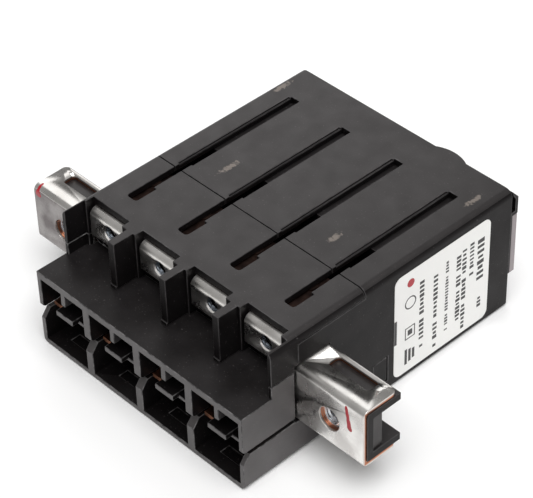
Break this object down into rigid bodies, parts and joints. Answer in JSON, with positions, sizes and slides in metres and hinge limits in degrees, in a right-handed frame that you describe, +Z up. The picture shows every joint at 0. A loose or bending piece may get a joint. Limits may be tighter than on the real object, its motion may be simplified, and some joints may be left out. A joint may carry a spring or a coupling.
{
  "type": "fuse disconnect block",
  "caption": "Multi-pole plug-in fuse disconnect block with a common copper busbar, screw load terminals between barrier fins and pull-out fuse carriers.",
  "frame": {"origin": "on the base plane, below the centre of the whole part's box", "axes": "+X along the busbar towards the side with the label, +Y from the nose to the fuse carriers, +Z up"},
  "size_m": [0.162, 0.13, 0.0513],
  "materials": {
    "housing_black": "satin moulded thermoplastic",
    "tinned_copper": "tin-plated copper, lightly brushed",
    "zinc_steel": "bright zinc-plated steel",
    "nickel_plate": "dull nickel plate with a worn, grainy face",
    "bare_copper": "bare copper",
    "phosphor_bronze": "rolled phosphor bronze",
    "ivory_plastic": "natural nylon",
    "fuse_fibre": "melamine fibre tube",
    "label_white": "printed film"
  },
  "bodies": {
    "block": {"lower_tray": "housing_black", "nose_housing": "housing_black", "front_cover": "housing_black", "rear_housing": "housing_black", "busbar": "tinned_copper", "busbar_insert_left": "housing_black", "busbar_insert_right": "housing_black", "busbar_nut_left": "zinc_steel", "busbar_nut_right": "zinc_steel", "alarm_bus": "bare_copper", "line_jaw_rivets": "bare_copper", "load_jaw_rivets": "bare_copper", "jaw_springs": "zinc_steel", "rating_label": "label_white", "load_terminal_1": "nickel_plate", "load_terminal_2": "nickel_plate", "load_terminal_3": "nickel_plate", "load_terminal_4": "nickel_plate", "load_jaw_1": "bare_copper", "load_jaw_2": "bare_copper", "load_jaw_3": "bare_copper", "load_jaw_4": "bare_copper", "line_jaw_1": "bare_copper", "line_jaw_2": "bare_copper", "line_jaw_3": "bare_copper", "line_jaw_4": "bare_copper"},
    "fuse_carrier_1": {"carrier_1": "housing_black", "carrier_window_1": "ivory_plastic", "fuse_tube_1": "fuse_fibre", "fuse_caps_1": "nickel_plate", "fuse_blades_1": "bare_copper"},
    "alarm_leaf_arm_1": {"alarm_leaf_1": "phosphor_bronze"},
    "fuse_carrier_2": {"carrier_2": "housing_black", "carrier_window_2": "ivory_plastic", "fuse_tube_2": "fuse_fibre", "fuse_caps_2": "nickel_plate", "fuse_blades_2": "bare_copper"},
    "alarm_leaf_arm_2": {"alarm_leaf_2": "phosphor_bronze"},
    "fuse_carrier_3": {"carrier_3": "housing_black", "carrier_window_3": "ivory_plastic", "fuse_tube_3": "fuse_fibre", "fuse_caps_3": "nickel_plate", "fuse_blades_3": "bare_copper"},
    "alarm_leaf_arm_3": {"alarm_leaf_3": "phosphor_bronze"},
    "fuse_carrier_4": {"carrier_4": "housing_black", "carrier_window_4": "ivory_plastic", "fuse_tube_4": "fuse_fibre", "fuse_caps_4": "nickel_plate", "fuse_blades_4": "bare_copper"},
    "alarm_leaf_arm_4": {"alarm_leaf_4": "phosphor_bronze"}
  },
  "joints": [
    {"name": "carrier_1_slide", "type": "slide", "parent": "block", "child": "fuse_carrier_1", "axis": [0, 1, 0], "range_m": [0, 0.045]},
    {"name": "carrier_2_slide", "type": "slide", "parent": "block", "child": "fuse_carrier_2", "axis": [0, 1, 0], "range_m": [0, 0.045]},
    {"name": "carrier_3_slide", "type": "slide", "parent": "block", "child": "fuse_carrier_3", "axis": [0, 1, 0], "range_m": [0, 0.045]},
    {"name": "carrier_4_slide", "type": "slide", "parent": "block", "child": "fuse_carrier_4", "axis": [0, 1, 0], "range_m": [0, 0.045]},
    {"name": "alarm_leaf_1_rock", "type": "hinge", "parent": "block", "child": "alarm_leaf_arm_1", "pos_m": [-0.0382, -0.019, 0.0103], "axis": [1, 0, 0], "range_deg": [-6, 0], "stiffness_Nm_per_rad": 0.05, "springref_deg": 2.86},
    {"name": "alarm_leaf_2_rock", "type": "hinge", "parent": "block", "child": "alarm_leaf_arm_2", "pos_m": [-0.0128, -0.019, 0.0103], "axis": [1, 0, 0], "range_deg": [-6, 0], "stiffness_Nm_per_rad": 0.05, "springref_deg": 2.86},
    {"name": "alarm_leaf_3_rock", "type": "hinge", "parent": "block", "child": "alarm_leaf_arm_3", "pos_m": [0.0126, -0.019, 0.0103], "axis": [1, 0, 0], "range_deg": [-6, 0], "stiffness_Nm_per_rad": 0.05, "springref_deg": 2.86},
    {"name": "alarm_leaf_4_rock", "type": "hinge", "parent": "block", "child": "alarm_leaf_arm_4", "pos_m": [0.038, -0.019, 0.0103], "axis": [1, 0, 0], "range_deg": [-6, 0], "stiffness_Nm_per_rad": 0.05, "springref_deg": 2.86}
  ]
}
